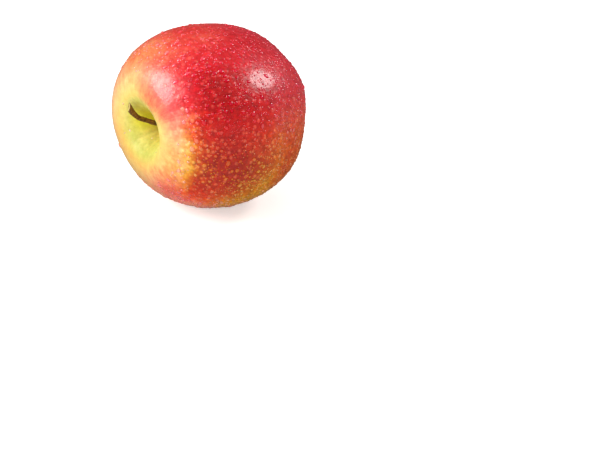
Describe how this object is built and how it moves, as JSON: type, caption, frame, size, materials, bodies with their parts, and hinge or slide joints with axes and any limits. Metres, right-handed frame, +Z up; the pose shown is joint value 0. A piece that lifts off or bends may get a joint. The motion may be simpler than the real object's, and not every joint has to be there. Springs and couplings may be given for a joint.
{
  "type": "apple",
  "caption": "Whole ripe red and yellow apple lying on its flank, with a bent woody stem in a deep cavity and dried sepals at the calyx end.",
  "frame": {"origin": "on the surface the apple lies on, under the middle of its bounding box", "axes": "+Z up, away from the surface. The stem end points towards -X, raised 6 degrees, and the calyx end towards +X."},
  "size_m": [0.0746, 0.0786, 0.0732],
  "materials": {
    "skin": "waxy apple skin, red blush over yellow-green ground, pale lenticels",
    "stem_bark": "matt brown bark, olive near the base, pale at the broken tip",
    "dried_sepal": "matt, dry and wrinkled",
    "dried_stamen": "matt, dry and thread-like",
    "water": "clear water droplets on the skin, looks only"
  },
  "bodies": {
    "root": {"fruit": "skin", "stem": "stem_bark", "sepal_1": "dried_sepal", "sepal_2": "dried_sepal", "sepal_3": "dried_sepal", "sepal_4": "dried_sepal", "sepal_5": "dried_sepal", "stamen_tuft": "dried_stamen"}
  },
  "joints": []
}
